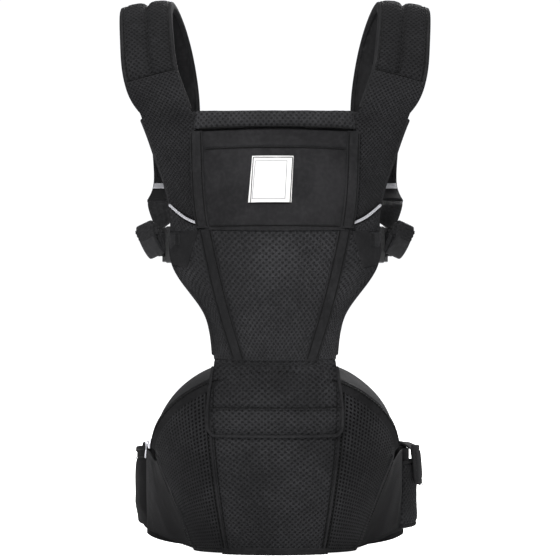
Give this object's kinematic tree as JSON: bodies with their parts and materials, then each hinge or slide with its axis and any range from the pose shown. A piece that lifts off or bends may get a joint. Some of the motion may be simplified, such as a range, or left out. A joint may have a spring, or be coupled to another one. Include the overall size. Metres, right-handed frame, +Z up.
{
  "type": "soft baby carrier",
  "caption": "Soft structured baby carrier with a hip seat, waist belt, body panel, padded shoulder straps and side-release buckles.",
  "frame": {"origin": "centre of the flat underside of the hip seat", "axes": "+Z up as worn, -Y outwards from the wearer, +X to the right when looking at the outside of the carrier"},
  "size_m": [0.3312, 0.3688, 0.5884],
  "materials": {
    "shell_fabric": "plain woven polyester, charcoal black",
    "spacer_mesh": "black spacer mesh with small dimples",
    "side_mesh": "black open mesh with small square holes",
    "lining": "soft black lining",
    "band": "smooth charcoal band",
    "webbing": "black woven webbing",
    "reflective": "silver-grey reflective tape",
    "foam": "foam wrapped in black fabric",
    "buckle_plastic": "moulded acetal, fine grain",
    "zip_coil": "zip tape with nylon coil",
    "zip_metal": "nickel-plated zip metal",
    "label": "blank woven label",
    "hook_loop": "hook-and-loop tape"
  },
  "bodies": {
    "hip_seat": {"seat_core": "foam", "seat_side_mesh": "side_mesh", "seat_front_cover": "spacer_mesh", "seat_piping": "band", "seat_top_cover": "shell_fabric", "side_gusset": "shell_fabric", "flap_loop_tape": "hook_loop", "zip_tape": "zip_coil", "belt_belly_pad": "spacer_mesh", "belt_wing_left": "shell_fabric", "belt_wing_right": "shell_fabric", "belt_base_band": "webbing", "belt_webbing": "webbing", "hip_pocket_left": "shell_fabric", "pouch_right": "shell_fabric", "waist_socket": "buckle_plastic"},
    "front_flap": {"front_flap": "spacer_mesh", "flap_hook_tape": "hook_loop"},
    "zip_slider": {"zip_slider": "zip_metal"},
    "zip_pull": {"zip_pull": "zip_metal"},
    "pouch_flap": {"pouch_flap": "shell_fabric"},
    "waist_plug": {"waist_plug": "buckle_plastic"},
    "waist_prong_upper": {"waist_prong_upper": "buckle_plastic"},
    "waist_prong_lower": {"waist_prong_lower": "buckle_plastic"},
    "carrier_panel": {"panel_liner": "lining", "centre_mesh": "spacer_mesh", "stowed_hood": "lining", "hood_pocket": "shell_fabric", "label_patch": "label", "side_mesh": "spacer_mesh", "buckle_wing_left": "shell_fabric", "buckle_wing_right": "shell_fabric", "reflective_piping": "reflective", "trim_lower": "band", "trim_upper": "band", "strap_base": "shell_fabric", "shoulder_pad_left": "spacer_mesh", "shoulder_pad_right": "spacer_mesh", "strap_end": "shell_fabric", "strap_rail": "buckle_plastic", "strap_reflector": "reflective", "side_anchor": "webbing", "side_socket_left": "buckle_plastic", "side_socket_right": "buckle_plastic", "strap_tail": "webbing", "webbing_roll": "webbing"},
    "headrest": {"headrest": "band"},
    "side_plug_left": {"side_plug_left": "buckle_plastic"},
    "side_prong_upper_left": {"side_prong_upper_left": "buckle_plastic"},
    "side_prong_lower_left": {"side_prong_lower_left": "buckle_plastic"},
    "side_plug_right": {"side_plug_right": "buckle_plastic"},
    "side_prong_upper_right": {"side_prong_upper_right": "buckle_plastic"},
    "side_prong_lower_right": {"side_prong_lower_right": "buckle_plastic"},
    "chest_strap": {"chest_socket": "buckle_plastic", "chest_slider": "buckle_plastic", "chest_webbing": "webbing"},
    "chest_plug": {"chest_plug": "buckle_plastic"},
    "chest_prong_upper": {"chest_prong_upper": "buckle_plastic"},
    "chest_prong_lower": {"chest_prong_lower": "buckle_plastic"}
  },
  "joints": [
    {"name": "panel_fold", "type": "hinge", "parent": "hip_seat", "child": "carrier_panel", "pos_m": [0, -0.1125, 0.2068], "axis": [1, 0, 0], "range_deg": [-12, 75]},
    {"name": "front_flap_lift", "type": "hinge", "parent": "hip_seat", "child": "front_flap", "pos_m": [0, -0.1102, 0.2044], "axis": [-1, 0, 0], "range_deg": [0, 75]},
    {"name": "zip_slider_run", "type": "hinge", "parent": "hip_seat", "child": "zip_slider", "pos_m": [0, -0.002, 0.109], "axis": [0, 0.6691, 0.7431], "range_deg": [0, 47]},
    {"name": "zip_pull_swing", "type": "hinge", "parent": "zip_slider", "child": "zip_pull", "pos_m": [-0.13695, -0.01026, 0.11644], "axis": [0, 0.6691, 0.7431], "range_deg": [0, 120]},
    {"name": "pouch_flap_lift", "type": "hinge", "parent": "hip_seat", "child": "pouch_flap", "pos_m": [0.1506, 0.13604, 0.1084], "axis": [-0.0234, -0.9997, 0], "range_deg": [0, 90]},
    {"name": "headrest_fold", "type": "hinge", "parent": "carrier_panel", "child": "headrest", "pos_m": [0, -0.1035, 0.4452], "axis": [1, 0, 0], "range_deg": [0, 90]},
    {"name": "waist_plug_release", "type": "slide", "parent": "hip_seat", "child": "waist_plug", "axis": [1, 0, 0], "range_m": [0, 0.024]},
    {"name": "waist_prong_press", "type": "hinge", "parent": "waist_plug", "child": "waist_prong_upper", "pos_m": [0.0089, 0.2356, 0.0835], "axis": [0, -1, 0], "range_deg": [0, 7]},
    {"name": "waist_prong_press_lower", "type": "hinge", "parent": "waist_plug", "child": "waist_prong_lower", "pos_m": [0.0089, 0.2356, 0.0405], "axis": [0, 1, 0], "range_deg": [0, 7]},
    {"name": "chest_plug_release", "type": "slide", "parent": "chest_strap", "child": "chest_plug", "axis": [1, 0, 0], "range_m": [0, 0.026]},
    {"name": "chest_prong_press", "type": "hinge", "parent": "chest_plug", "child": "chest_prong_upper", "pos_m": [0.0089, 0.0994, 0.4625], "axis": [0, -1, 0], "range_deg": [0, 7]},
    {"name": "chest_prong_press_lower", "type": "hinge", "parent": "chest_plug", "child": "chest_prong_lower", "pos_m": [0.0089, 0.0994, 0.4375], "axis": [0, 1, 0], "range_deg": [0, 7]},
    {"name": "side_plug_right_release", "type": "slide", "parent": "carrier_panel", "child": "side_plug_right", "axis": [0.35, 0.9367, 0], "range_m": [0, 0.026]},
    {"name": "side_prong_press_right", "type": "hinge", "parent": "side_plug_right", "child": "side_prong_lower_right", "pos_m": [0.11231, -0.01716, 0.313], "axis": [-0.9367, 0.35, 0], "range_deg": [0, 7]},
    {"name": "side_prong_press_right_upper", "type": "hinge", "parent": "side_plug_right", "child": "side_prong_upper_right", "pos_m": [0.11231, -0.01716, 0.343], "axis": [0.9367, -0.35, 0], "range_deg": [0, 7]},
    {"name": "side_plug_left_release", "type": "slide", "parent": "carrier_panel", "child": "side_plug_left", "axis": [-0.35, 0.9367, 0], "range_m": [0, 0.026]},
    {"name": "side_prong_press_left", "type": "hinge", "parent": "side_plug_left", "child": "side_prong_upper_left", "pos_m": [-0.11231, -0.01716, 0.343], "axis": [0.9367, 0.35, 0], "range_deg": [0, 7]},
    {"name": "side_prong_press_left_lower", "type": "hinge", "parent": "side_plug_left", "child": "side_prong_lower_left", "pos_m": [-0.11231, -0.01716, 0.313], "axis": [-0.9367, -0.35, 0], "range_deg": [0, 7]},
    {"name": "chest_strap_height", "type": "slide", "parent": "carrier_panel", "child": "chest_strap", "axis": [0, 0, 1], "range_m": [-0.02, 0.02]}
  ],
  "couplings": [
    {"joint": "waist_prong_press_lower", "follows": "waist_prong_press", "ratio": 1},
    {"joint": "chest_prong_press_lower", "follows": "chest_prong_press", "ratio": 1},
    {"joint": "side_prong_press_right_upper", "follows": "side_prong_press_right", "ratio": 1},
    {"joint": "side_prong_press_left_lower", "follows": "side_prong_press_left", "ratio": 1}
  ]
}
